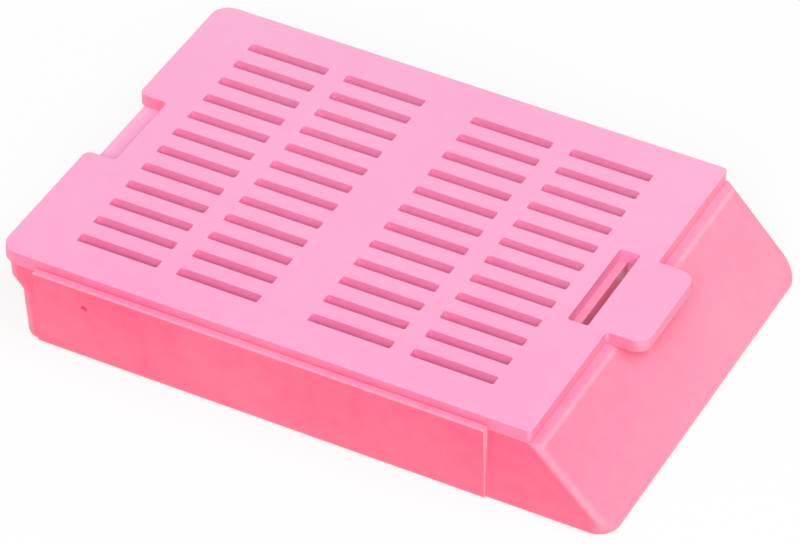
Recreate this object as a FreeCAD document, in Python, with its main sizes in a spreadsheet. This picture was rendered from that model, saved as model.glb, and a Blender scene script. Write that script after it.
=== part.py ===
import FreeCAD, Part
import math
import os
import Sketcher

# Tissue cassette: a slotted tray with a sloped writing panel, closed by a slotted lid.
# Frame: origin at the middle of the footprint on the resting face, +X towards the
# writing panel, +Z up, millimetres. Both pieces are symmetric about the XZ plane.

os.makedirs("parts", exist_ok=True)
doc = FreeCAD.newDocument("tissue_cassette")

# ---------------------------------------------------------------- driving dimensions
DIMENSIONS = [
    # whole cassette
    ("overall_length", 41.0),
    ("overall_height", 6.5),
    ("side_width", 28.4),            # over the sides of the lid and the tray's ends
    # lid plate
    ("lid_thickness", 0.9),
    ("ridge_ledge", 0.48),           # deck left open between the lid's front edge and the ridge
    ("lid_rear_radius", 1.2),
    ("lid_front_radius", 0.35),
    ("lid_edge_round", 0.2),
    ("tab_reach", 2.56),
    ("tab_width", 7.5),
    ("tab_tip_radius", 1.0),
    ("tab_root_radius", 0.25),
    ("notch_depth", 2.0),
    ("notch_width", 6.7),
    ("notch_lobe_radius", 0.5),
    ("notch_root_radius", 0.3),
    # slot field, the same in the lid and in the floor
    ("slot_width", 0.76),
    ("slot_rows", 12),
    ("field_side_bar", 1.44),       # from the lid's side ribs to the outer rows
    ("field_rear_bar", 1.315),       # from the floor's rear end to the slots
    ("field_front_bar", 0.25),       # from the slots to the floor's front end
    ("pair_bar", 1.3),               # bar between the two slots of a pair
    ("centre_bar", 3.4),             # bar between the two pairs
    ("slot_chamfer", 0.08),
    # tray
    ("lid_overhang", 0.38),          # lid lobes beyond the rear lip
    ("lip_reach", 0.83),             # rear lip beyond the rear wall
    ("lip_face", 1.12),
    ("lip_lean", 0.08),
    ("lip_taper", 0.85),
    ("rear_draft", 0.33),            # the rear wall leans in by this much down to its foot
    ("side_draft", 0.2),             # the same for each side, from the rim to the foot
    ("rear_radius", 1.0),
    ("wall", 1.1),
    ("front_wall_thickness", 0.9),
    ("floor_thickness", 1.0),
    ("cavity_setback", 0.68),        # cavity's front end, behind the side panels' ends
    ("cavity_radius", 0.8),
    ("cavity_draft", 0.35),
    ("cavity_front_draft", 0.1),
    ("foot_round", 0.44),
    # writing panel
    ("slope_angle", 45.0),
    ("nose_face", 0.68),             # upright face at the foot of the slope
    ("nose_radius", 1.5),
    ("panel_thickness", 1.1),
    ("panel_edge_round", 0.55),
    ("ridge_facet", 0.12),
    # raised side panels
    ("side_panel_setback", 2.27),    # rear ends of the panels, ahead of the lip
    ("side_panel_end", 2.77),        # front ends of the panels, behind the lid's front edge
    ("side_panel_rise", 0.3),        # above the rim, beside the lid
    ("side_panel_clearance", 0.06),  # to the lid
    ("side_panel_proud", 0.57),      # at the top
    ("side_panel_foot", 0.13),       # proud at the foot
    ("side_panel_round", 0.15),
    ("side_panel_root", 0.2),        # how far the panels reach inside the foot's rounding
    ("mark_diameter", 0.45),         # gate mark on one side panel
    ("mark_depth", 0.15),
    ("mark_setback", 3.46),
    ("mark_height", 4.34),
    # latch slot, snap tongue and the lid's locating ribs
    ("latch_slot_width", 1.35),
    ("latch_slot_length", 7.6),
    ("latch_slot_setback", 1.2),     # its front side, behind the lid's front edge
    ("deck_thickness", 1.0),
    ("catch_ledge", 0.5),            # deck ledge seen through the latch slot
    ("window_clearance", 0.3),
    ("snap_thickness", 0.65),
    ("snap_side_gap", 0.4),          # latch slot beyond the snap, on each side
    ("snap_ramp", 0.7),
    ("barb_face", 0.35),
    ("barb_drop", 0.15),             # under the deck
    ("barb_clearance", 0.1),         # from the tip to the ledge
    ("locator_clearance", 0.25),
    ("locator_thickness", 0.6),
    ("side_rib_depth", 0.6),
    ("side_rib_inset", 1.0),         # rib ends inside the slot field's ends
    ("rear_tongue_depth", 1.6),
    ("rear_tongue_width", 4.0),
    ("rear_tongue_spacing", 15.0),
]

# ------------------------------------------------- places worked out from the dimensions
PLACES = [
    ("rear_end", "-overall_length / 2"),
    ("front_end", "overall_length / 2"),
    ("half_width", "side_width / 2"),
    ("rim", "overall_height - lid_thickness"),
    # lid outline
    ("slope_run", "1 / tan(slope_angle)"),
    ("ridge", "front_end - (rim - nose_face) * slope_run"),
    ("lid_front", "ridge - ridge_ledge"),
    ("tab_end", "lid_front + tab_reach"),
    ("tab_half", "tab_width / 2"),
    ("notch_end", "rear_end + notch_depth"),
    ("notch_half", "notch_width / 2"),
    # rear of the tray
    ("lip_outer", "rear_end + lid_overhang"),
    ("lip_under", "lip_outer + lip_lean"),
    ("lip_low", "rim - lip_face"),
    ("lip_root", "lip_low - lip_taper"),
    ("lip_crest", "lip_outer - lip_lean * lid_thickness / lip_face"),
    ("rear_wall", "lip_outer + lip_reach"),
    ("rear_foot", "rear_wall + rear_draft"),
    # half widths of the tray at its foot, under the lip, at the lip and at the block's top
    ("foot_half", "half_width - side_draft"),
    ("root_half", "half_width - side_draft * (1 - lip_root / rim)"),
    ("lip_half", "half_width - side_draft * (1 - lip_low / rim)"),
    ("crest_half", "half_width + side_draft * lid_thickness / rim"),
    # writing panel
    ("ridge_back", "ridge - ridge_facet"),
    ("ridge_low_x", "ridge + ridge_facet * cos(slope_angle)"),
    ("ridge_low_z", "rim - ridge_facet * sin(slope_angle)"),
    ("slope_rise", "tan(slope_angle)"),
    ("slope_beyond", "front_end + nose_face * slope_run"),
    ("slope_line", "slope_beyond * slope_rise"),
    ("slope_top", "slope_beyond - overall_height * slope_run"),
    ("ridge_past_x", "ridge_back + 3 * (ridge_low_x - ridge_back)"),
    ("ridge_past_z", "rim - 3 * (rim - ridge_low_z)"),
    ("rear_beyond", "rear_end - 1"),
    ("top_beyond", "overall_height + 1"),
    ("cutting_width", "side_width + 4"),
    ("inner_foot", "slope_beyond - panel_thickness / sin(slope_angle)"),
    ("deck_under", "rim - deck_thickness"),
    ("inner_top", "inner_foot - deck_under * slope_run"),
    ("wedge_width", "side_width - 2 * wall"),
    # side panels
    ("panel_rear", "lip_outer + side_panel_setback"),
    ("panel_front", "lid_front - side_panel_end"),
    ("side_panel_length", "panel_front - panel_rear"),
    ("panel_inner", "foot_half - foot_round - side_panel_root"),
    ("panel_rim_y", "half_width + side_panel_proud"),
    ("panel_lip_y", "half_width + side_panel_clearance"),
    ("panel_foot_y", "foot_half + side_panel_foot"),
    ("panel_top", "rim + side_panel_rise"),
    ("mark_x", "panel_rear + mark_setback"),
    ("mark_plane", "panel_foot_y + (panel_rim_y - panel_foot_y) * mark_height / panel_top"),
    ("mark_radius", "mark_diameter / 2"),
    ("mark_lift", "mark_plane + mark_diameter"),
    ("mark_travel", "mark_depth + mark_diameter"),
    # cavity
    ("cavity_front", "panel_front - cavity_setback"),
    ("cavity_rear", "rear_wall + wall - cavity_draft / 2"),
    ("cavity_half", "panel_rim_y - wall"),
    ("floor_front", "cavity_front - cavity_front_draft"),
    ("floor_rear", "cavity_rear + cavity_draft"),
    ("floor_half", "cavity_half - cavity_draft"),
    ("front_wall", "cavity_front + front_wall_thickness"),
    ("floor_depth", "2 * floor_thickness"),
    # latch
    ("slot_front", "lid_front - latch_slot_setback"),
    ("slot_back", "slot_front - latch_slot_width"),
    ("latch_half", "latch_slot_length / 2"),
    ("ledge_end", "slot_back + catch_ledge"),
    ("snap_front", "slot_front + snap_thickness"),
    ("snap_width", "latch_slot_length - 2 * snap_side_gap"),
    ("window_front", "snap_front + window_clearance"),
    ("window_half", "latch_half + window_clearance / 2"),
    ("barb_tip", "ledge_end + barb_clearance"),
    ("barb_top", "deck_under - barb_drop"),
    ("barb_low", "barb_top - barb_face"),
    ("snap_end", "barb_low - snap_ramp"),
    ("window_depth", "1.5 * deck_thickness"),
    ("lid_core", "rim + lid_thickness / 2"),
    ("through_lid", "2 * lid_thickness"),
    ("tongue_drop", "rear_tongue_depth + lid_thickness / 2"),
    ("rib_drop", "side_rib_depth + lid_thickness / 2"),
    # locating ribs under the lid, and the slot field between them
    ("rib_outer", "cavity_half - locator_clearance"),
    ("rib_inner", "rib_outer - locator_thickness"),
    ("field_rear", "floor_rear + field_rear_bar"),
    ("field_front", "floor_front - field_front_bar"),
    ("rib_rear", "field_rear + side_rib_inset"),
    ("rib_front", "field_front - side_rib_inset"),
    ("slot_length", "(field_front - field_rear - centre_bar - 2 * pair_bar) / 4"),
    ("row_middle", "rib_inner - field_side_bar - slot_width / 2"),
    ("row_span", "2 * row_middle"),
    ("row_low", "-row_middle - slot_width / 2"),
    ("row_high", "-row_middle + slot_width / 2"),
    ("row_rim_low", "row_low - slot_chamfer"),
    ("row_rim_high", "row_high + slot_chamfer"),
    ("tongue_rear", "cavity_rear + locator_clearance"),
    ("tongue_front", "tongue_rear + locator_thickness"),
    ("tongue_inner", "(rear_tongue_spacing - rear_tongue_width) / 2"),
    ("tongue_outer", "(rear_tongue_spacing + rear_tongue_width) / 2"),
]

COLUMNS = [
    ("outer_rear", "field_rear"),
    ("inner_rear", "outer_rear_stop + pair_bar"),
    ("inner_front", "inner_rear_stop + centre_bar"),
    ("outer_front", "inner_front_stop + pair_bar"),
]
for column, start in COLUMNS:
    PLACES.append((column + "_start", start))
    PLACES.append((column + "_stop", column + "_start + slot_length"))
    PLACES.append((column + "_rim_start", column + "_start - slot_chamfer"))
    PLACES.append((column + "_rim_stop", column + "_stop + slot_chamfer"))

sheet = doc.addObject("Spreadsheet::Sheet", "sizes")
for row, (alias, number) in enumerate(DIMENSIONS, start=1):
    sheet.set(f"A{row}", alias)
    sheet.set(f"B{row}", str(number))
    sheet.setAlias(f"B{row}", alias)
for row, (alias, formula) in enumerate(PLACES, start=1):
    sheet.set(f"C{row}", alias)
    sheet.set(f"D{row}", "=" + formula)
    sheet.setAlias(f"D{row}", alias)
doc.recompute()


# ------------------------------------------------------------------------ small helpers
def value(name):
    """Number in a named cell; a leading minus gives its negative."""
    if name == "0":
        return 0.0
    if name.startswith("-"):
        return -float(sheet.get(name[1:]))
    return float(sheet.get(name))


def cell(name):
    """The same cell as an expression for a property."""
    if name.startswith("-"):
        return "-sizes." + name[1:]
    return "sizes." + name


def new_body(label):
    body = doc.addObject("PartDesign::Body", label)
    body.Label = label
    return body


def new_sketch(body, name, role, height=None):
    """Sketch on one of the body's origin planes, lifted to a named height."""
    planes = [item for item in body.Origin.OriginFeatures if item.Role == role]
    sketch = body.newObject("Sketcher::SketchObject", name)
    sketch.AttachmentSupport = [(planes[0], "")]
    sketch.MapMode = "FlatFace"
    if height is not None:
        sketch.setExpression("AttachmentOffset.Base.z", cell(height))
    return sketch


def bind(sketch, constraint, name):
    """Add a driving constraint and tie it to a named cell."""
    index = sketch.addConstraint(constraint)
    sketch.setExpression(f"Constraints[{index}]", cell(name))


def pin(sketch, edge, end, across, up):
    """Tie one end of an edge to named coordinates."""
    if across == "0":
        sketch.addConstraint(Sketcher.Constraint("PointOnObject", edge, end, -2))
    else:
        bind(sketch, Sketcher.Constraint("DistanceX", -1, 1, edge, end, value(across)), across)
    if up == "0":
        sketch.addConstraint(Sketcher.Constraint("PointOnObject", edge, end, -1))
    else:
        bind(sketch, Sketcher.Constraint("DistanceY", -1, 1, edge, end, value(up)), up)


def polygon(sketch, corners):
    """Closed straight outline through corners given as pairs of named coordinates."""
    first = sketch.GeometryCount
    points = [FreeCAD.Vector(value(across), value(up), 0) for across, up in corners]
    for start, stop in zip(points, points[1:] + points[:1]):
        sketch.addGeometry(Part.LineSegment(start, stop), False)
    for step, (across, up) in enumerate(corners):
        following = first + (step + 1) % len(corners)
        sketch.addConstraint(Sketcher.Constraint("Coincident", first + step, 2, following, 1))
        pin(sketch, first + step, 1, across, up)


def rectangle(sketch, left, right, low, high):
    polygon(sketch, [(left, low), (right, low), (right, high), (left, high)])


def mirrored_rectangles(sketch, left, right, low, high):
    """The same rectangle on both sides of the sketch's horizontal axis."""
    rectangle(sketch, left, right, low, high)
    rectangle(sketch, left, right, "-" + high, "-" + low)


def rounded_outline(sketch, rear, front, half, rear_corner, front_corner):
    """Rectangle about the X axis with one corner radius behind and one in front."""
    back, ahead, side = value(rear), value(front), value(half)
    behind, before = value(rear_corner), value(front_corner)
    corners = [
        (ahead - before, -side + before, before, -90),
        (ahead - before, side - before, before, 0),
        (back + behind, side - behind, behind, 90),
        (back + behind, -side + behind, behind, 180),
    ]
    up = FreeCAD.Vector(0, 0, 1)
    arcs = []
    for across, along, radius, start in corners:
        circle = Part.Circle(FreeCAD.Vector(across, along, 0), up, radius)
        arcs.append(Part.ArcOfCircle(circle, math.radians(start), math.radians(start + 90)))
    order = []
    for step in range(4):
        order.append(Part.LineSegment(arcs[step - 1].EndPoint, arcs[step].StartPoint))
        order.append(arcs[step])
    for item in order:
        sketch.addGeometry(item, False)
    for step in range(8):
        following = (step + 1) % 8
        sketch.addConstraint(Sketcher.Constraint("Tangent", step, 2, following, 1))
    sketch.addConstraint(Sketcher.Constraint("Horizontal", 0))
    sketch.addConstraint(Sketcher.Constraint("Vertical", 2))
    bind(sketch, Sketcher.Constraint("Radius", 1, before), front_corner)
    bind(sketch, Sketcher.Constraint("Radius", 3, before), front_corner)
    bind(sketch, Sketcher.Constraint("Radius", 5, behind), rear_corner)
    bind(sketch, Sketcher.Constraint("Radius", 7, behind), rear_corner)
    bind(sketch, Sketcher.Constraint("DistanceY", -1, 1, 0, 1, -side), "-" + half)
    bind(sketch, Sketcher.Constraint("DistanceX", -1, 1, 2, 1, ahead), front)
    bind(sketch, Sketcher.Constraint("DistanceY", -1, 1, 4, 1, side), half)
    bind(sketch, Sketcher.Constraint("DistanceX", -1, 1, 6, 1, back), rear)


def extrude(body, kind, name, sketch, length, side="One side", reversed_way=False):
    """Pad or Pocket of a sketch by a named length."""
    feature = body.newObject("PartDesign::" + kind, name)
    feature.Profile = sketch
    feature.SideType = side
    feature.Reversed = reversed_way
    feature.setExpression("Length", cell(length))
    sketch.Visibility = False
    doc.recompute()
    return feature


def cut(body, name, sketch, length, side="One side", reversed_way=False):
    """Pocket that must take material away."""
    before = body.Shape.Volume
    feature = extrude(body, "Pocket", name, sketch, length, side, reversed_way)
    if not body.Shape.Volume < before - 1e-4:
        raise RuntimeError(f"{name} removes nothing")
    return feature


def edges_where(shape, test):
    """Names of the edges whose middle point passes the test."""
    names = []
    for number, edge in enumerate(shape.Edges, start=1):
        if edge.Length < 1e-6:
            continue
        middle = edge.valueAt((edge.FirstParameter + edge.LastParameter) / 2)
        if test(edge, middle):
            names.append(f"Edge{number}")
    return names


def blend(body, name, radius, test):
    """Fillet of the edges picked by a test, with a named radius."""
    base = body.Tip
    names = edges_where(base.Shape, test)
    if not names:
        raise RuntimeError(f"{name} finds no edge")
    feature = body.newObject("PartDesign::Fillet", name)
    feature.Base = (base, names)
    feature.setExpression("Radius", cell(radius))
    doc.recompute()
    return feature


def repeat_rows(body, name, originals):
    """Rows of slots across the piece, along Y."""
    axes = [item for item in body.Origin.OriginFeatures if item.Role == "Y_Axis"]
    before = body.Shape.Volume
    pattern = body.newObject("PartDesign::LinearPattern", name)
    pattern.Originals = originals
    pattern.Direction = (axes[0], [""])
    pattern.setExpression("Length", cell("row_span"))
    pattern.setExpression("Occurrences", cell("slot_rows"))
    body.Tip = pattern
    doc.recompute()
    if not body.Shape.Volume < before - 1e-4:
        raise RuntimeError(f"{name} repeats nothing")
    return pattern


def near(first, second, tolerance=1e-3):
    return abs(first - second) < tolerance


def upright(edge):
    first, last = edge.Vertexes[0].Point, edge.Vertexes[-1].Point
    return near(first.x, last.x) and near(first.y, last.y)


def slot_row(sketch, low, high, part=""):
    """Four slots of one row, in two pairs."""
    for column, _ in COLUMNS:
        rectangle(sketch, f"{column}{part}_start", f"{column}{part}_stop", low, high)


# ------------------------------------------------------------------------------- tray
base = new_body("cassette_base")

sections = [
    ("foot_outline", None, "rear_foot", "foot_half"),
    ("lip_root_outline", "lip_root", "rear_wall", "root_half"),
    ("lip_outline", "lip_low", "lip_under", "lip_half"),
    ("crest_outline", "overall_height", "lip_crest", "crest_half"),
]
outlines = []
for name, height, rear, half in sections:
    outline = new_sketch(base, name, "XY_Plane", height)
    rounded_outline(outline, rear, "front_end", half, "rear_radius", "nose_radius")
    outline.Visibility = False
    outlines.append(outline)
doc.recompute()
block = base.newObject("PartDesign::AdditiveLoft", "block")
block.Profile = outlines[0]
block.Sections = outlines[1:]
block.Ruled = True
doc.recompute()

slope_side = new_sketch(base, "slope_side", "XZ_Plane")
polygon(slope_side, [
    ("slope_top", "overall_height"),
    ("slope_beyond", "0"),
    ("slope_beyond", "overall_height"),
])
cut(base, "slope", slope_side, "cutting_width", "Symmetric")

# side edges of the writing panel, its lower corners and the top edge of its nose
blend(base, "panel_edges", "panel_edge_round", lambda edge, at: (
    near(at.z, value("slope_line") - at.x * value("slope_rise"), 2e-3)
    and at.z < value("overall_height") - 1e-3
))
blend(base, "foot_edges", "foot_round", lambda edge, at: near(at.z, 0))

top_side = new_sketch(base, "top_side", "XZ_Plane")
polygon(top_side, [
    ("rear_beyond", "rim"),
    ("ridge_back", "rim"),
    ("ridge_past_x", "ridge_past_z"),
    ("ridge_past_x", "top_beyond"),
    ("rear_beyond", "top_beyond"),
])
cut(base, "level_top", top_side, "cutting_width", "Symmetric")

panel_ends = new_sketch(base, "panel_ends", "YZ_Plane", "panel_rear")
for sign in ("", "-"):
    polygon(panel_ends, [
        (sign + "panel_inner", "0"),
        (sign + "panel_foot_y", "0"),
        (sign + "panel_rim_y", "panel_top"),
        (sign + "panel_lip_y", "panel_top"),
        (sign + "panel_lip_y", "rim"),
        (sign + "panel_inner", "rim"),
    ])
extrude(base, "Pad", "side_panels", panel_ends, "side_panel_length")
blend(base, "side_panel_feet", "foot_round", lambda edge, at: (
    near(at.z, 0) and near(abs(at.y), value("panel_foot_y")) and edge.Length > 5
))
blend(base, "side_panel_tops", "side_panel_round", lambda edge, at: (
    near(at.z, value("panel_top")) and near(abs(at.y), value("panel_rim_y")) and edge.Length > 5
))

cavity_top = new_sketch(base, "cavity_top", "XY_Plane", "rim")
rounded_outline(cavity_top, "cavity_rear", "cavity_front", "cavity_half",
                "cavity_radius", "cavity_radius")
cavity_floor = new_sketch(base, "cavity_floor", "XY_Plane", "floor_thickness")
rounded_outline(cavity_floor, "floor_rear", "floor_front", "floor_half",
                "cavity_radius", "cavity_radius")
cavity_top.Visibility = False
cavity_floor.Visibility = False
doc.recompute()
solid_volume = base.Shape.Volume
cavity = base.newObject("PartDesign::SubtractiveLoft", "cavity")
cavity.Profile = cavity_top
cavity.Sections = [cavity_floor]
cavity.Ruled = True
doc.recompute()
if not base.Shape.Volume < solid_volume / 2:
    raise RuntimeError("the cavity is not cut")

hollow_side = new_sketch(base, "hollow_side", "XZ_Plane")
polygon(hollow_side, [
    ("front_wall", "0"),
    ("inner_foot", "0"),
    ("inner_top", "deck_under"),
    ("front_wall", "deck_under"),
])
cut(base, "hollow", hollow_side, "wedge_width", "Symmetric")

window_plan = new_sketch(base, "window_plan", "XY_Plane", "rim")
rectangle(window_plan, "ledge_end", "window_front", "-window_half", "window_half")
cut(base, "window", window_plan, "window_depth")

floor_row = new_sketch(base, "floor_row", "XY_Plane", "floor_thickness")
slot_row(floor_row, "row_low", "row_high")
floor_slots = cut(base, "floor_slots", floor_row, "floor_depth")
repeat_rows(base, "floor_slot_rows", [floor_slots])

mark_side = new_sketch(base, "mark_side", "XZ_Plane", "mark_lift")
centre = FreeCAD.Vector(value("mark_x"), value("mark_height"), 0)
mark_side.addGeometry(Part.Circle(centre, FreeCAD.Vector(0, 0, 1), value("mark_radius")), False)
pin(mark_side, 0, 3, "mark_x", "mark_height")
bind(mark_side, Sketcher.Constraint("Radius", 0, value("mark_radius")), "mark_radius")
cut(base, "gate_mark", mark_side, "mark_travel")

# -------------------------------------------------------------------------------- lid
lid = new_body("cassette_lid")

lid_plan = new_sketch(lid, "lid_plan", "XY_Plane", "rim")
polygon(lid_plan, [
    ("rear_end", "-half_width"),
    ("lid_front", "-half_width"),
    ("lid_front", "-tab_half"),
    ("tab_end", "-tab_half"),
    ("tab_end", "tab_half"),
    ("lid_front", "tab_half"),
    ("lid_front", "half_width"),
    ("rear_end", "half_width"),
    ("rear_end", "notch_half"),
    ("notch_end", "notch_half"),
    ("notch_end", "-notch_half"),
    ("rear_end", "-notch_half"),
])
extrude(lid, "Pad", "plate", lid_plan, "lid_thickness")

plan_corners = [
    ("rear_corners", "lid_rear_radius", "rear_end", "half_width"),
    ("front_corners", "lid_front_radius", "lid_front", "half_width"),
    ("tab_tip", "tab_tip_radius", "tab_end", "tab_half"),
    ("tab_roots", "tab_root_radius", "lid_front", "tab_half"),
    ("notch_lobes", "notch_lobe_radius", "rear_end", "notch_half"),
    ("notch_roots", "notch_root_radius", "notch_end", "notch_half"),
]
for name, radius, along, across in plan_corners:
    blend(lid, name, radius, lambda edge, at: (
        upright(edge) and near(at.x, value(along)) and near(abs(at.y), value(across))
    ))
blend(lid, "plate_edges", "lid_edge_round", lambda edge, at: (
    near(at.z, value("overall_height"))
))

latch_plan = new_sketch(lid, "latch_plan", "XY_Plane", "overall_height")
rectangle(latch_plan, "slot_back", "slot_front", "-latch_half", "latch_half")
cut(lid, "latch_slot", latch_plan, "through_lid")

lid_row = new_sketch(lid, "lid_row", "XY_Plane", "overall_height")
slot_row(lid_row, "row_low", "row_high")
lid_slots = cut(lid, "lid_slots", lid_row, "through_lid")
lid_row_rim = new_sketch(lid, "lid_row_rim", "XY_Plane", "overall_height")
slot_row(lid_row_rim, "row_rim_low", "row_rim_high", "_rim")
lid_slot_rims = lid.newObject("PartDesign::Pocket", "lid_slot_rims")
lid_slot_rims.Profile = lid_row_rim
lid_slot_rims.TaperAngle = -45
lid_slot_rims.setExpression("Length", cell("slot_chamfer"))
lid_row_rim.Visibility = False
doc.recompute()
repeat_rows(lid, "lid_slot_rows", [lid_slots, lid_slot_rims])

snap_side = new_sketch(lid, "snap_side", "XZ_Plane")
polygon(snap_side, [
    ("slot_front", "lid_core"),
    ("slot_front", "barb_top"),
    ("barb_tip", "barb_top"),
    ("barb_tip", "barb_low"),
    ("slot_front", "snap_end"),
    ("snap_front", "snap_end"),
    ("snap_front", "lid_core"),
])
extrude(lid, "Pad", "snap", snap_side, "snap_width", "Symmetric")

tongue_plan = new_sketch(lid, "tongue_plan", "XY_Plane", "lid_core")
mirrored_rectangles(tongue_plan, "tongue_rear", "tongue_front", "tongue_inner", "tongue_outer")
extrude(lid, "Pad", "rear_tongues", tongue_plan, "tongue_drop", reversed_way=True)

rib_plan = new_sketch(lid, "rib_plan", "XY_Plane", "lid_core")
mirrored_rectangles(rib_plan, "rib_rear", "rib_front", "rib_inner", "rib_outer")
extrude(lid, "Pad", "side_ribs", rib_plan, "rib_drop", reversed_way=True)

# ----------------------------------------------------------------------------- export
doc.recompute()
for item in doc.Objects:
    if "Invalid" in item.State or "Error" in item.State:
        raise RuntimeError(f"{item.Label}: {item.State}")
for body in (base, lid):
    shape = body.Shape
    if shape.isNull() or not shape.isValid() or len(shape.Solids) != 1:
        raise RuntimeError(f"{body.Label} is not one valid solid")
    shape.exportStep(f"parts/{body.Label}.step")
    box = shape.optimalBoundingBox(True, False)
    print(f"{body.Label}: {shape.Volume:.2f} mm3, x {box.XMin:.3f} {box.XMax:.3f},"
          f" y {box.YMin:.3f} {box.YMax:.3f}, z {box.ZMin:.3f} {box.ZMax:.3f}")
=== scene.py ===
import math

import bmesh
import bpy
from mathutils import Matrix, Quaternion, Vector


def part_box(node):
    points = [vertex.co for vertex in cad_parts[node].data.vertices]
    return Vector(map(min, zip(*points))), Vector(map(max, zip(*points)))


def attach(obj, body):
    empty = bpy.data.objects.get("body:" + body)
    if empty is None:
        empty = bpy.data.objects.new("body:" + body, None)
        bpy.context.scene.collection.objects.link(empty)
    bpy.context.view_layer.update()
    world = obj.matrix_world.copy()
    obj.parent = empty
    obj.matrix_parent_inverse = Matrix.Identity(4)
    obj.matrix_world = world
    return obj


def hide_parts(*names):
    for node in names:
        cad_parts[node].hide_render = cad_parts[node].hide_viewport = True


# Tissue cassette: a slotted tray with a sloped writing panel, and the slotted lid that
# snaps down on it. Sizes are in millimetres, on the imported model's own axes: +X from the
# rear lip to the writing panel, +Z up through the lid.

MM = 0.001

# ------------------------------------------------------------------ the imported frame
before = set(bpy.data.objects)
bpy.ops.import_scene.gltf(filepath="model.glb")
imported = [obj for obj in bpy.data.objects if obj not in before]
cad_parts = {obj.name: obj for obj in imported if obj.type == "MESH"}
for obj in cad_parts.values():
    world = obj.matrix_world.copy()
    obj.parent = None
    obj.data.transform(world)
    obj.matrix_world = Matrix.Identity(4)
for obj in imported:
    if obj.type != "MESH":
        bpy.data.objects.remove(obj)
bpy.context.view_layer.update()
lid_low, lid_high = (Vector(corner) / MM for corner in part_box("cassette_lid"))

# ---------------------------------------------------------------------- lid's sizes
LID_THICKNESS = 0.9
LID_TOP = lid_high.z
LID_UNDER = LID_TOP - LID_THICKNESS
LID_REAR = lid_low.x
TAB_END = lid_high.x
LID_HALF = lid_high.y
TAB_REACH = 2.56
LID_FRONT = TAB_END - TAB_REACH
TAB_HALF = 7.5 / 2
NOTCH_END = LID_REAR + 2.0
NOTCH_HALF = 6.7 / 2
LID_REAR_RADIUS = 1.2
LID_FRONT_RADIUS = 0.35
TAB_TIP_RADIUS = 1.0
TAB_ROOT_RADIUS = 0.25
NOTCH_LOBE_RADIUS = 0.5
NOTCH_ROOT_RADIUS = 0.3

# slot field: four slots to a row, in two pairs
SLOT_ROWS = 12
SLOTS_IN_PAIR = 2
PAIRS_IN_ROW = 2
ROW_STEP = 2.0
SLOT_LENGTH = 5.5
SLOT_WIDTH = 0.76
SLOT_CORNER = 0.12
PAIR_BAR = 1.3
CENTRE_BAR = 3.4
FIELD_REAR = LID_REAR + 3.8

# latch slot, and the snap tongue that hangs from its front side
LATCH_FRONT = LID_FRONT - 1.2
LATCH_WIDTH = 1.35
LATCH_LENGTH = 7.6
LATCH_CORNER = 0.15
SNAP_THICKNESS = 0.65
SNAP_HALF = LATCH_LENGTH / 2 - 0.4
SNAP_LOW = lid_low.z
BARB_REACH = 0.75
BARB_FACE = 0.35
SNAP_RAMP = 0.7

# locating ribs under the lid
RIB_THICKNESS = 0.6
RIB_OUTER = LID_HALF - 0.78
RIB_REAR = FIELD_REAR + 1.0
RIB_FRONT = LID_FRONT - 4.8
RIB_DEPTH = 0.6
TONGUE_REAR = LID_REAR + 2.385
TONGUE_MIDDLE = 7.5
TONGUE_HALF = 2.0
TONGUE_DEPTH = 1.6

# rounded edges: the lid's round, its shares elsewhere, and the tray's round
OUTLINE_ROUND = 0.2
SLOT_RIM_SHARE = 0.2
UNDERSIDE_SHARE = 0.8
SLOT_FOOT_SHARE = 0.2
TRAY_ROUND = 0.07
LID_ROUND_STEPS = 3
TRAY_ROUND_STEPS = 2
LID_SHARP_ANGLE = math.radians(40)
TRAY_SHARP_ANGLE = math.radians(32)
OUTLINE_CORNER_POINTS = 6

# places on the tray where its painted light and shade change
REAR_BAR_END = LID_REAR + 0.85
REAR_BAR_DROP = 0.5
DECK_REAR = LATCH_FRONT - LATCH_WIDTH - 0.05
RIDGE_END = LID_FRONT + 0.76
WINDOW_MARGIN = 1
PLACE_SLACK = 0.1

# gate's pit in one side panel
GATE_X = -14.39
GATE_Z = 4.34
GATE_REACH = 0.35

# how far a face's normal leans: walls stay under one share, square faces pass another
WALL_LEAN = 0.5
SQUARE_LEAN = 0.9
RIDGE_LEAN_LOW = 0.6
RIDGE_LEAN_HIGH = 0.85

# painted light and shade on the tray's faces: above 0 is painted paler as lit, and below 0 painted
# deeper and darker as shade
GATE_PAINTED_SHADE = -0.08
PANEL_FRONT_PAINTED_LIGHT = 0.33
PANEL_REAR_PAINTED_LIGHT = 0.1
RIDGE_PAINTED_HIGHLIGHT = 0.1
REAR_BAR_PAINTED_LIGHT = 0.08
WINDOW_PAINTED_LIGHT = 0.09

# variation in the plastic's colour and gloss, with its painted light, highlights and shade
LOOKS_DOWN, LOOKS_ACROSS, LOOKS_UP_SLOPE, LOOKS_UP = 0.2, 0.5, 0.85, 1.0
EDGE_HIGHLIGHT_GAIN = 3
DRIFT_SCALE = 110.0
FLECK_SCALE = 900.0
GRAIN_SCALE = 5200.0
NOISE_SPAN = (0.3, 0.7)
DRIFT_SHARES = (0.97, 1.03)
FLECK_SHARES = (0.985, 1.015)
PAINTED_LIGHT_LEAN_SHARES = (1.025, 0.955)
FOOT_HEIGHT = 5
FOOT_SHARES = (0.965, 1.0)
DEEPEST_PAINTED_SHADE = -0.1
DEEPEST_SHADE = 0.7
SIDE_ROUGHNESS = 0.38
TOP_ROUGHNESS = 0.56
GRAIN_DEPTH = 0.02


# ------------------------------------------------------------------ node-tree helper
def add_node(tree, kind, inputs=None, **settings):
    """New node with its settings, its inputs joined to sockets or set to values."""
    node = tree.nodes.new(kind)
    for name, setting in settings.items():
        setattr(node, name, setting)
    for key, source in (inputs or {}).items():
        if isinstance(source, bpy.types.NodeSocket):
            tree.links.new(source, node.inputs[key])
        else:
            node.inputs[key].default_value = source
    return node


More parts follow.
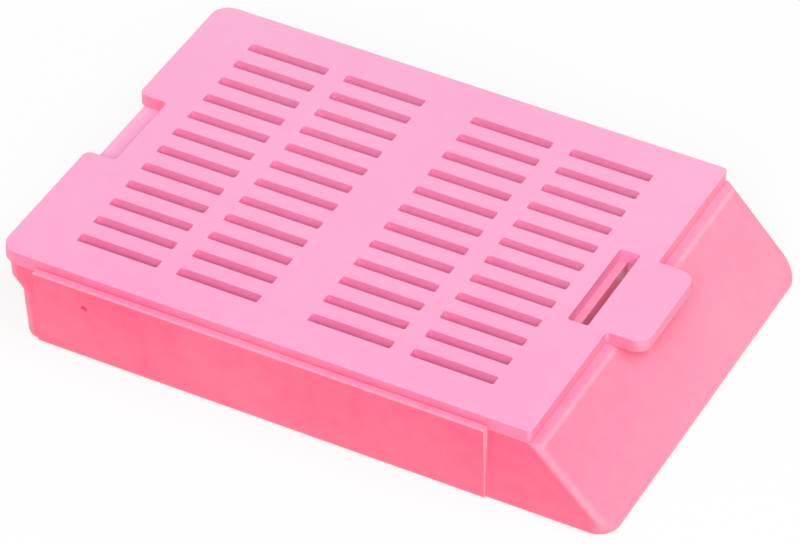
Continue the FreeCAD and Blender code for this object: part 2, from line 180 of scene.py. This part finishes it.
# ------------------------------------------------------------------------- finishes
def acetal(name, under, side, end, slope, top, corner, recess):
    """Moulded acetal, satin on its sides and frosted on the faces that look up.

    The colours are painted light and shade by the way a face looks: down, across, towards an end,
    up the slope or straight up, paler where it faces the light. Rounded long edges have a painted
    highlight, and the walls of hollows painted light and shade of their own.
    """
    material = bpy.data.materials.new(name)
    material.use_nodes = True
    tree = material.node_tree
    shader = tree.nodes["Principled BSDF"]
    place = add_node(tree, "ShaderNodeTexCoord")
    facing = add_node(tree, "ShaderNodeSeparateXYZ", {"Vector": place.outputs["Normal"]})

    def ranged(socket, low, high, low_share, high_share):
        return add_node(tree, "ShaderNodeMapRange", {
            "Value": socket, "From Min": low, "From Max": high,
            "To Min": low_share, "To Max": high_share}).outputs["Result"]

    def times(first, second, clamp=False):
        return add_node(tree, "ShaderNodeMath", {
            0: first, 1: second}, operation="MULTIPLY", use_clamp=clamp).outputs[0]

    def squared(socket):
        return times(socket, socket)

    def noise(scale, detail, roughness):
        """Noise that stays fixed to the piece, as a share."""
        return add_node(tree, "ShaderNodeTexNoise", {
            "Vector": place.outputs["Object"], "Scale": scale,
            "Detail": detail, "Roughness": roughness}).outputs["Fac"]

    def toned(share, ground, tone):
        """The ground colour, gone over to a tone by a share."""
        mix = add_node(tree, "ShaderNodeMix", {0: share, 6: ground, 7: (*tone, 1)}, data_type="RGBA")
        return mix.outputs[2]

    # painted light and shade by facing: how far up the face looks, from 0 to 1, paler facing up
    painted_facing_tones = add_node(tree, "ShaderNodeValToRGB", {"Fac": ranged(facing.outputs["Z"], -1, 1, 0, 1)})
    ramp = painted_facing_tones.color_ramp
    ramp.elements[0].position = LOOKS_DOWN
    ramp.elements[0].color = (*under, 1)
    ramp.elements[1].position = LOOKS_ACROSS
    ramp.elements[1].color = (*side, 1)
    for position, tone in ((LOOKS_UP_SLOPE, slope), (LOOKS_UP, top)):
        ramp.elements.new(position).color = (*tone, 1)
    # painted light: faces that look towards an end are painted paler
    painted_end_light_share = ranged(squared(facing.outputs["X"]), 0.5, 1, 0, 1)
    colour = toned(painted_end_light_share, painted_facing_tones.outputs["Color"], end)

    # painted highlight on the rounded long edges, as if light showed through them, down to the foot
    across = squared(facing.outputs["Y"])
    along = add_node(tree, "ShaderNodeMath", {0: 1.0, 1: across}, operation="SUBTRACT").outputs[0]
    upper = ranged(facing.outputs["Z"], -0.5, 0, 0, EDGE_HIGHLIGHT_GAIN)
    colour = toned(times(times(across, along), upper, True), colour, corner)

    # painted light and shade in recesses: their faces take a tone of their own, paler than the sides
    # as if lit through the plastic, deeper than the top where shade falls
    inside = add_node(tree, "ShaderNodeAttribute", attribute_name="recess")
    colour = toned(inside.outputs["Fac"], colour, recess)

    # slow drift of the pigment and finer flecks; painted light makes the far (+Y) side paler and the
    # near side deeper;
    # the colour is also paler towards the foot; a face marked with painted light is paler, and one
    # with painted shade deeper and darker
    drift = noise(DRIFT_SCALE, 3.0, 0.55)
    flecks = noise(FLECK_SCALE, 4.0, 0.6)
    spread = add_node(tree, "ShaderNodeSeparateXYZ", {"Vector": place.outputs["Object"]})
    half = LID_HALF * MM
    painted_lean = ranged(spread.outputs["Y"], -half, half, *PAINTED_LIGHT_LEAN_SHARES)
    foot = ranged(spread.outputs["Z"], 0, FOOT_HEIGHT * MM, *FOOT_SHARES)
    fleck_share = ranged(flecks, *NOISE_SPAN, *FLECK_SHARES)
    painted_level = add_node(tree, "ShaderNodeAttribute", attribute_name="painted_light_and_shade")
    share = times(times(ranged(drift, *NOISE_SPAN, *DRIFT_SHARES), fleck_share),
                  times(times(painted_lean, foot), ranged(painted_level.outputs["Fac"], -1, 1, 2, 0)))
    # painted shade: a face marked below 0 is darkened as well
    shaded = ranged(painted_level.outputs["Fac"], DEEPEST_PAINTED_SHADE, 0, DEEPEST_SHADE, 1.0)
    tint = add_node(tree, "ShaderNodeHueSaturation", {
        "Saturation": share, "Value": shaded, "Color": colour})
    tree.links.new(tint.outputs["Color"], shader.inputs["Base Color"])

    # frosted on top, smoother on the sides
    gloss = times(ranged(facing.outputs["Z"], 0, 1, SIDE_ROUGHNESS, TOP_ROUGHNESS), fleck_share)
    tree.links.new(gloss, shader.inputs["Roughness"])

    # fine grain of the mould's face
    relief = add_node(tree, "ShaderNodeBump", {
        "Height": noise(GRAIN_SCALE, 2.0, 0.5), "Strength": 0.25, "Distance": GRAIN_DEPTH * MM})
    tree.links.new(relief.outputs["Normal"], shader.inputs["Normal"])

    shader.inputs["IOR"].default_value = 1.48
    shader.inputs["Subsurface Weight"].default_value = 0.2
    shader.inputs["Subsurface Radius"].default_value = (1.0, 0.35, 0.4)
    shader.inputs["Subsurface Scale"].default_value = 0.4 * MM
    return material


# each material's tones are lit and shaded copies of one pink: painted light and shade by facing, a
# painted edge highlight and a painted recess tone
lid_acetal = acetal(
    "lid_acetal",
    under=(0.96, 0.20, 0.37), side=(0.97, 0.23, 0.385), end=(0.97, 0.28, 0.43),
    slope=(0.98, 0.37, 0.55), top=(0.98, 0.405, 0.635), corner=(0.98, 0.33, 0.51),
    recess=(1.0, 0.31, 0.56))
tray_acetal = acetal(
    "tray_acetal",
    under=(0.96, 0.12, 0.24), side=(0.97, 0.131, 0.238), end=(1.0, 0.26, 0.41),
    slope=(0.98, 0.26, 0.397), top=(0.98, 0.40, 0.63), corner=(0.98, 0.32, 0.43),
    recess=(1.0, 0.29, 0.46))


# ------------------------------------------------------------- lid, a perforated plate
def perforated_plate_tree():
    """Tree that cuts rows of paired slots and a latch slot through a plate's outline."""
    tree = bpy.data.node_groups.new("perforated_plate", "GeometryNodeTree")
    sockets = tree.interface
    sockets.new_socket(name="Outline", in_out="INPUT", socket_type="NodeSocketGeometry")
    for name in ("Thickness", "Underside", "Slot Length", "Slot Width", "Slot Corner",
                 "Slot Step", "Pair Step", "Row Step", "Latch Length", "Latch Width", "Latch Corner"):
        sockets.new_socket(name=name, in_out="INPUT", socket_type="NodeSocketFloat")
    for name in ("First Slot", "Latch Middle"):
        sockets.new_socket(name=name, in_out="INPUT", socket_type="NodeSocketVector")
    for name in ("Rows", "Corner Points"):
        sockets.new_socket(name=name, in_out="INPUT", socket_type="NodeSocketInt")
    sockets.new_socket(name="Plastic", in_out="INPUT", socket_type="NodeSocketMaterial")
    sockets.new_socket(name="Plate", in_out="OUTPUT", socket_type="NodeSocketGeometry")
    given = add_node(tree, "NodeGroupInput").outputs

    def rounded_slot(length, width, corner):
        frame_line = add_node(tree, "GeometryNodeCurvePrimitiveQuadrilateral", {
            "Width": length, "Height": width}, mode="RECTANGLE")
        rounded = add_node(tree, "GeometryNodeFilletCurve", {
            "Curve": frame_line.outputs["Curve"], "Count": given["Corner Points"],
            "Radius": corner, "Limit Radius": True}, mode="POLY")
        return rounded.outputs["Curve"]

    def repeated(item, count, step, start=(0, 0, 0)):
        """Copies of an item along a line of points."""
        line = add_node(tree, "GeometryNodeMeshLine", {
            "Count": count, "Start Location": start, "Offset": step},
            mode="OFFSET", count_mode="TOTAL")
        copies = add_node(tree, "GeometryNodeInstanceOnPoints", {
            "Points": line.outputs["Mesh"], "Instance": item})
        return copies.outputs["Instances"]

    def step_along(axis, distance):
        return add_node(tree, "ShaderNodeCombineXYZ", {axis: distance}).outputs["Vector"]

    # the plate's outline, rounded by the radius kept at each corner
    corner_radius = add_node(tree, "GeometryNodeInputNamedAttribute", {
        "Name": "corner_radius"}, data_type="FLOAT")
    outline = add_node(tree, "GeometryNodeMeshToCurve", {"Mesh": given["Outline"]})
    outline = add_node(tree, "GeometryNodeFilletCurve", {
        "Curve": outline.outputs["Curve"], "Count": given["Corner Points"],
        "Radius": corner_radius.outputs["Attribute"], "Limit Radius": True}, mode="POLY")

    # slots: two to a pair, two pairs to a row, and the rows across the plate
    slot = rounded_slot(given["Slot Length"], given["Slot Width"], given["Slot Corner"])
    pair = repeated(slot, SLOTS_IN_PAIR, step_along("X", given["Slot Step"]))
    row = repeated(pair, PAIRS_IN_ROW, step_along("X", given["Pair Step"]))
    rows = repeated(row, given["Rows"], step_along("Y", given["Row Step"]), given["First Slot"])
    slots = add_node(tree, "GeometryNodeRealizeInstances", {"Geometry": rows})
    latch = add_node(tree, "GeometryNodeTransform", {
        "Geometry": rounded_slot(given["Latch Length"], given["Latch Width"], given["Latch Corner"]),
        "Translation": given["Latch Middle"]})

    # fill between the lines, then give the sheet its thickness and a closed underside
    lines = add_node(tree, "GeometryNodeJoinGeometry")
    for source in (latch.outputs[0], slots.outputs[0], outline.outputs[0]):
        tree.links.new(source, lines.inputs[0])
    sheet = add_node(tree, "GeometryNodeFillCurve", {"Curve": lines.outputs[0]}, mode="NGONS")
    raised = add_node(tree, "GeometryNodeExtrudeMesh", {
        "Mesh": sheet.outputs["Mesh"], "Offset": step_along("Z", given["Thickness"]),
        "Offset Scale": 1.0, "Individual": False}, mode="FACES")
    underside = add_node(tree, "GeometryNodeFlipFaces", {"Mesh": sheet.outputs["Mesh"]})
    faces = add_node(tree, "GeometryNodeJoinGeometry")
    for source in (underside.outputs[0], raised.outputs["Mesh"]):
        tree.links.new(source, faces.inputs[0])
    closed = add_node(tree, "GeometryNodeMergeByDistance", {
        "Geometry": faces.outputs[0], "Distance": 0.001 * MM})
    lifted = add_node(tree, "GeometryNodeTransform", {
        "Geometry": closed.outputs["Geometry"], "Translation": step_along("Z", given["Underside"])})
    real = add_node(tree, "GeometryNodeRealizeInstances", {"Geometry": lifted.outputs[0]})
    coated = add_node(tree, "GeometryNodeSetMaterial", {
        "Geometry": real.outputs[0], "Material": given["Plastic"]})
    finished = add_node(tree, "NodeGroupOutput")
    tree.links.new(coated.outputs[0], finished.inputs["Plate"])
    return tree


def lid_outline():
    """Corners of the lid's outline as (x, y, radius), anticlockwise from the tab."""
    half_outline = [
        (TAB_END, TAB_HALF, TAB_TIP_RADIUS),
        (LID_FRONT, TAB_HALF, TAB_ROOT_RADIUS),
        (LID_FRONT, LID_HALF, LID_FRONT_RADIUS),
        (LID_REAR, LID_HALF, LID_REAR_RADIUS),
        (LID_REAR, NOTCH_HALF, NOTCH_LOBE_RADIUS),
        (NOTCH_END, NOTCH_HALF, NOTCH_ROOT_RADIUS),
    ]
    other_half = [(x, -y, radius) for x, y, radius in reversed(half_outline)]
    return half_outline + other_half


def outline_object(name, corners):
    """Closed line through the corners, each with its radius kept as an attribute."""
    mesh = bpy.data.meshes.new(name)
    points = [(x * MM, y * MM, 0) for x, y, _ in corners]
    edges = [(step, (step + 1) % len(corners)) for step in range(len(corners))]
    mesh.from_pydata(points, edges, [])
    radii = mesh.attributes.new("corner_radius", "FLOAT", "POINT")
    radii.data.foreach_set("value", [radius * MM for _, _, radius in corners])
    piece = bpy.data.objects.new(name, mesh)
    bpy.context.scene.collection.objects.link(piece)
    return piece


def grow(piece, tree, sizes):
    """Put the tree on a piece with its sizes, and keep the result as its plain mesh."""
    modifier = piece.modifiers.new(tree.name, "NODES")
    modifier.node_group = tree
    for socket in tree.interface.items_tree:
        if socket.in_out == "INPUT" and socket.name in sizes:
            modifier[socket.identifier] = sizes[socket.name]
    keep_result(piece)


def keep_result(piece):
    """Swap a piece's mesh for what its modifiers make of it."""
    graph = bpy.context.evaluated_depsgraph_get()
    made = bpy.data.meshes.new_from_object(piece.evaluated_get(graph))
    made.name = piece.name
    piece.modifiers.clear()
    piece.data = made


def add_prism(shape, profile, near, far):
    """Closed prism in mm: an XZ profile carried across from one Y to another."""
    ends = []
    for y in (near, far):
        ends.append([shape.verts.new((x * MM, y * MM, z * MM)) for x, z in profile])
    count = len(profile)
    sides = [shape.faces.new(ends[0]), shape.faces.new(reversed(ends[1]))]
    for step in range(count):
        after = (step + 1) % count
        corners = (ends[0][step], ends[1][step], ends[1][after], ends[0][after])
        sides.append(shape.faces.new(corners))
    bmesh.ops.recalc_face_normals(shape, faces=sides)


def add_underside(piece):
    """Snap tongue, rear tongues and side ribs, rooted inside the plate."""
    shape = bmesh.new()
    shape.from_mesh(piece.data)
    root = LID_UNDER + LID_THICKNESS / 2
    snap_front = LATCH_FRONT + SNAP_THICKNESS
    barb_low = SNAP_LOW + SNAP_RAMP
    snap_profile = [
        (LATCH_FRONT, root),
        (LATCH_FRONT, barb_low + BARB_FACE),
        (LATCH_FRONT - BARB_REACH, barb_low + BARB_FACE),
        (LATCH_FRONT - BARB_REACH, barb_low),
        (LATCH_FRONT, SNAP_LOW),
        (snap_front, SNAP_LOW),
        (snap_front, root),
    ]
    add_prism(shape, snap_profile, -SNAP_HALF, SNAP_HALF)
    tongue = [(x, z) for x in (TONGUE_REAR, TONGUE_REAR + RIB_THICKNESS)
              for z in (root, LID_UNDER - TONGUE_DEPTH)]
    rib = [(x, z) for x in (RIB_REAR, RIB_FRONT) for z in (root, LID_UNDER - RIB_DEPTH)]
    for side in (-1, 1):
        for (first, second, third, fourth), middle, half in (
                (tongue, TONGUE_MIDDLE, TONGUE_HALF),
                (rib, RIB_OUTER - RIB_THICKNESS / 2, RIB_THICKNESS / 2)):
            profile = [first, second, fourth, third]
            add_prism(shape, profile, side * middle - half, side * middle + half)
    shape.to_mesh(piece.data)
    shape.free()


def on_outline(place):
    """True for a point of the lid's outer edge, and False for one at a slot."""
    beside_slots = abs(place.y) > (LID_HALF - OUTLINE_ROUND) * MM
    behind = place.x < (FIELD_REAR - PAIR_BAR) * MM
    ahead = place.x > (LATCH_FRONT + SLOT_WIDTH / 2) * MM
    return beside_slots or behind or ahead


def round_lid_edges(piece):
    """Weigh the edges: full round on the outline's top, less at the slots and below."""
    shape = bmesh.new()
    shape.from_mesh(piece.data)
    bmesh.ops.recalc_face_normals(shape, faces=shape.faces)
    weights = shape.edges.layers.float.new("bevel_weight_edge")
    for edge in shape.edges:
        if not edge.is_manifold or edge.calc_face_angle() < LID_SHARP_ANGLE:
            continue
        middle = (edge.verts[0].co + edge.verts[1].co) / 2
        on_top = middle.z > (LID_TOP - OUTLINE_ROUND / 2) * MM
        if on_outline(middle):
            top_share, foot_share = 1.0, UNDERSIDE_SHARE
        else:
            top_share, foot_share = SLOT_RIM_SHARE, SLOT_FOOT_SHARE
        edge[weights] = top_share if on_top else foot_share
    shape.to_mesh(piece.data)
    shape.free()
    rounding = piece.modifiers.new("edge_round", "BEVEL")
    rounding.limit_method = "WEIGHT"
    rounding.width = OUTLINE_ROUND * MM
    rounding.segments = LID_ROUND_STEPS
    rounding.use_clamp_overlap = True
    finish_shading(piece)


def keep_on_faces(piece, name, share_of):
    """Keep a share on each face, from its place and the way it looks, for the material's painted
    light and shade to read.
    """
    shares = piece.data.attributes.new(name, "FLOAT", "FACE")
    for face, share in zip(piece.data.polygons, shares.data):
        share.value = share_of(face.center / MM, face.normal)


def lid_painted_recess_glow(centre, normal):
    """Walls of the slots and of the latch slot, painted with the paler recess tone as glow."""
    in_plate = centre.z > LID_UNDER and abs(normal.z) < WALL_LEAN
    return 1.0 if in_plate and not on_outline(centre * MM) else 0.0


def on_window_wall(centre, normal):
    """Whether a face is one of the walls of the deck's window."""
    in_window = (LATCH_FRONT - LATCH_WIDTH < centre.x < LID_FRONT - PLACE_SLACK
                 and abs(centre.y) < LATCH_LENGTH / 2 + WINDOW_MARGIN)
    return in_window and abs(normal.z) < WALL_LEAN and centre.z > SNAP_LOW


def tray_painted_recess_tone(centre, normal):
    """The deck ahead of the slots, the latch's window in it, and the side panels' tops: painted
    recess tone, as shade on the deck and panel tops and as light on the window's walls.
    """
    on_rim_level = centre.z > LID_UNDER - PLACE_SLACK
    deck = centre.x > DECK_REAR and normal.z > RIDGE_LEAN_HIGH and on_rim_level
    panel_top = abs(centre.y) > LID_HALF and normal.z > SQUARE_LEAN
    return 1.0 if deck or panel_top or on_window_wall(centre, normal) else 0.0


def tray_painted_light_and_shade(centre, normal):
    """Painted light on thin edges, the ridge, the rear bar and the window's walls, which look paler,
    and painted shade in the gate's pit, which looks deeper.
    """
    beside_lid = abs(centre.y) > LID_HALF - PLACE_SLACK
    if math.hypot(centre.x - GATE_X, centre.z - GATE_Z) < GATE_REACH and beside_lid:
        return GATE_PAINTED_SHADE
    if beside_lid and abs(normal.x) > SQUARE_LEAN:
        return PANEL_FRONT_PAINTED_LIGHT if normal.x > 0 else PANEL_REAR_PAINTED_LIGHT
    if LID_FRONT < centre.x < RIDGE_END and RIDGE_LEAN_LOW < normal.z < RIDGE_LEAN_HIGH:
        return RIDGE_PAINTED_HIGHLIGHT
    on_bar_level = centre.z > LID_UNDER - REAR_BAR_DROP
    if centre.x < REAR_BAR_END and on_bar_level and normal.z > SQUARE_LEAN:
        return REAR_BAR_PAINTED_LIGHT
    if on_window_wall(centre, normal):
        return WINDOW_PAINTED_LIGHT
    return 0.0


def finish_shading(piece):
    """Smooth rounds beside flat faces that stay flat."""
    piece.data.shade_smooth()
    steady = piece.modifiers.new("face_weights", "WEIGHTED_NORMAL")
    steady.mode = "FACE_AREA"
    steady.weight = 100
    steady.keep_sharp = False
    keep_result(piece)


lid_plate_tree = perforated_plate_tree()
slot_step = SLOT_LENGTH + PAIR_BAR
pair_step = 2 * SLOT_LENGTH + PAIR_BAR + CENTRE_BAR
first_row = -(SLOT_ROWS - 1) / 2 * ROW_STEP
lid = outline_object("slotted_lid", lid_outline())
grow(lid, lid_plate_tree, {
    "Thickness": LID_THICKNESS * MM,
    "Underside": LID_UNDER * MM,
    "Slot Length": SLOT_LENGTH * MM,
    "Slot Width": SLOT_WIDTH * MM,
    "Slot Corner": SLOT_CORNER * MM,
    "Slot Step": slot_step * MM,
    "Pair Step": pair_step * MM,
    "Row Step": ROW_STEP * MM,
    "Rows": SLOT_ROWS,
    "First Slot": ((FIELD_REAR + SLOT_LENGTH / 2) * MM, first_row * MM, 0),
    "Latch Length": LATCH_WIDTH * MM,
    "Latch Width": LATCH_LENGTH * MM,
    "Latch Corner": LATCH_CORNER * MM,
    "Latch Middle": ((LATCH_FRONT - LATCH_WIDTH / 2) * MM, 0, 0),
    "Corner Points": OUTLINE_CORNER_POINTS,
    "Plastic": lid_acetal,
})
add_underside(lid)
round_lid_edges(lid)
keep_on_faces(lid, "recess", lid_painted_recess_glow)
lid.data.materials.clear()
lid.data.materials.append(lid_acetal)
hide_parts("cassette_lid")
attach(lid, "lid")


# ------------------------------------------------------------------------------- tray
WELD_GAP = 0.0005
FLAT_ANGLE = math.radians(0.5)


def moulded_copy(name, node_name, plastic, seams):
    """Copy of a CAD node as one smooth skin, with its sharp edges rounded off.

    Its faces are parted at each seam's X, so that painted light and shade can change there.
    """
    piece = bpy.data.objects.new(name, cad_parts[node_name].data.copy())
    bpy.context.scene.collection.objects.link(piece)
    shape = bmesh.new()
    shape.from_mesh(piece.data)
    bmesh.ops.remove_doubles(shape, verts=shape.verts, dist=WELD_GAP * MM)
    bmesh.ops.recalc_face_normals(shape, faces=shape.faces)
    bmesh.ops.dissolve_limit(
        shape, angle_limit=FLAT_ANGLE, verts=shape.verts, edges=shape.edges)
    for seam in seams:
        bmesh.ops.bisect_plane(
            shape, geom=shape.verts[:] + shape.edges[:] + shape.faces[:],
            plane_co=(seam * MM, 0, 0), plane_no=(1, 0, 0))
    shape.to_mesh(piece.data)
    shape.free()
    piece.data.materials.clear()
    piece.data.materials.append(plastic)
    rounding = piece.modifiers.new("edge_round", "BEVEL")
    rounding.limit_method = "ANGLE"
    rounding.angle_limit = TRAY_SHARP_ANGLE
    rounding.width = TRAY_ROUND * MM
    rounding.segments = TRAY_ROUND_STEPS
    rounding.use_clamp_overlap = True
    finish_shading(piece)
    return piece


tray = moulded_copy(
    "slotted_tray", "cassette_base", tray_acetal, (REAR_BAR_END, DECK_REAR, RIDGE_END))
keep_on_faces(tray, "recess", tray_painted_recess_tone)
keep_on_faces(tray, "painted_light_and_shade", tray_painted_light_and_shade)
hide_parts("cassette_base")
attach(tray, "tray")

# ------------------------------------------------------------------------- backdrop
FLOOR_SIZE = 1.2
FLOOR_GAP = 0.02 * MM
SHADOW_SHARE = 0.2
PAPER_TONE = 0.92


def white_paper():
    """Pale paper that looks white from any side and still takes the object's shadow."""
    material = bpy.data.materials.new("white_paper")
    material.use_nodes = True
    tree = material.node_tree
    paper = tree.nodes["Principled BSDF"]
    paper.inputs["Base Color"].default_value = (PAPER_TONE, PAPER_TONE, PAPER_TONE, 1)
    paper.inputs["Roughness"].default_value = 0.9
    paper.inputs["Specular IOR Level"].default_value = 0.0
    ray = add_node(tree, "ShaderNodeLightPath")
    seen = add_node(tree, "ShaderNodeMath", {
        0: ray.outputs["Is Camera Ray"], 1: ray.outputs["Is Glossy Ray"]}, operation="ADD")
    seen = add_node(tree, "ShaderNodeMath", {
        0: seen.outputs[0], 1: ray.outputs["Is Transmission Ray"]}, operation="ADD", use_clamp=True)
    glow_share = add_node(tree, "ShaderNodeMath", {
        0: seen.outputs[0], 1: 1 - SHADOW_SHARE}, operation="MULTIPLY")
    glow = add_node(tree, "ShaderNodeEmission", {"Color": (1, 1, 1, 1), "Strength": 1.0})
    mixed = add_node(tree, "ShaderNodeMixShader", {
        0: glow_share.outputs[0], 1: paper.outputs["BSDF"], 2: glow.outputs["Emission"]})
    tree.links.new(mixed.outputs["Shader"], tree.nodes["Material Output"].inputs["Surface"])
    return material


bpy.ops.mesh.primitive_plane_add(size=FLOOR_SIZE, location=(0, 0, -FLOOR_GAP))
floor = bpy.context.object
floor.name = "studio_floor"
floor.data.materials.append(white_paper())

# --------------------------------------------------------------------- studio light
AIR_STRENGTH = 0.36
SOFTBOX_DISTANCE = 1.0
SOFTBOX_SIZE = 0.6


def compass(azimuth, elevation):
    """Direction away from the object, from its bearing and height in degrees."""
    turn, rise = math.radians(azimuth), math.radians(elevation)
    return Vector((math.sin(turn) * math.cos(rise), -math.cos(turn) * math.cos(rise), math.sin(rise)))


def studio_air():
    """Even white light from all round, and a white background behind the floor."""
    world = bpy.data.worlds.new("studio_air")
    bpy.context.scene.world = world
    world.use_nodes = True
    tree = world.node_tree
    ray = add_node(tree, "ShaderNodeLightPath")
    seen = add_node(tree, "ShaderNodeMath", {
        0: ray.outputs["Is Camera Ray"], 1: ray.outputs["Is Transmission Ray"]},
        operation="MAXIMUM")
    strength = add_node(tree, "ShaderNodeMapRange", {
        "Value": seen.outputs[0], "To Min": AIR_STRENGTH, "To Max": 1.0})
    air = tree.nodes["Background"]
    air.inputs["Color"].default_value = (1, 1, 1, 1)
    tree.links.new(strength.outputs["Result"], air.inputs["Strength"])


def softbox(name, azimuth, elevation, watts):
    """Square lamp that faces the object from a compass direction and height."""
    light = bpy.data.lights.new(name, "AREA")
    light.size = SOFTBOX_SIZE
    light.energy = watts
    lamp = bpy.data.objects.new(name, light)
    bpy.context.scene.collection.objects.link(lamp)
    away = compass(azimuth, elevation)
    lamp.location = away * SOFTBOX_DISTANCE
    lamp.rotation_mode = "QUATERNION"
    lamp.rotation_quaternion = away.to_track_quat("Z", "Y")


studio_air()
softbox("panel_side_softbox", azimuth=95, elevation=58, watts=2.8)
softbox("front_softbox", azimuth=20, elevation=43, watts=7.8)

# --------------------------------------------------------------------------- camera
CAMERA_AZIMUTH = 25.176
CAMERA_ELEVATION = 39.066
CAMERA_ROLL = 2.309
CAMERA_DISTANCE = 321.9 * MM
CAMERA_AIM = Vector((-0.126, -0.520, 2.742)) * MM
CAMERA_LENS = 236.34

camera_data = bpy.data.cameras.new("camera")
camera_data.lens = CAMERA_LENS
camera_data.clip_start = 0.01
camera_data.clip_end = 10
camera = bpy.data.objects.new("camera", camera_data)
bpy.context.scene.collection.objects.link(camera)
turn = math.radians(CAMERA_AZIMUTH)
back = compass(CAMERA_AZIMUTH, CAMERA_ELEVATION)
across = Vector((math.cos(turn), math.sin(turn), 0))
upright = back.cross(across)
level = Matrix((across, upright, back)).transposed()
camera.location = CAMERA_AIM + back * CAMERA_DISTANCE
camera.rotation_mode = "QUATERNION"
camera.rotation_quaternion = level.to_quaternion() @ Quaternion((0, 0, 1), math.radians(CAMERA_ROLL))
bpy.context.scene.camera = camera
bpy.context.scene.view_settings.view_transform = "Standard"
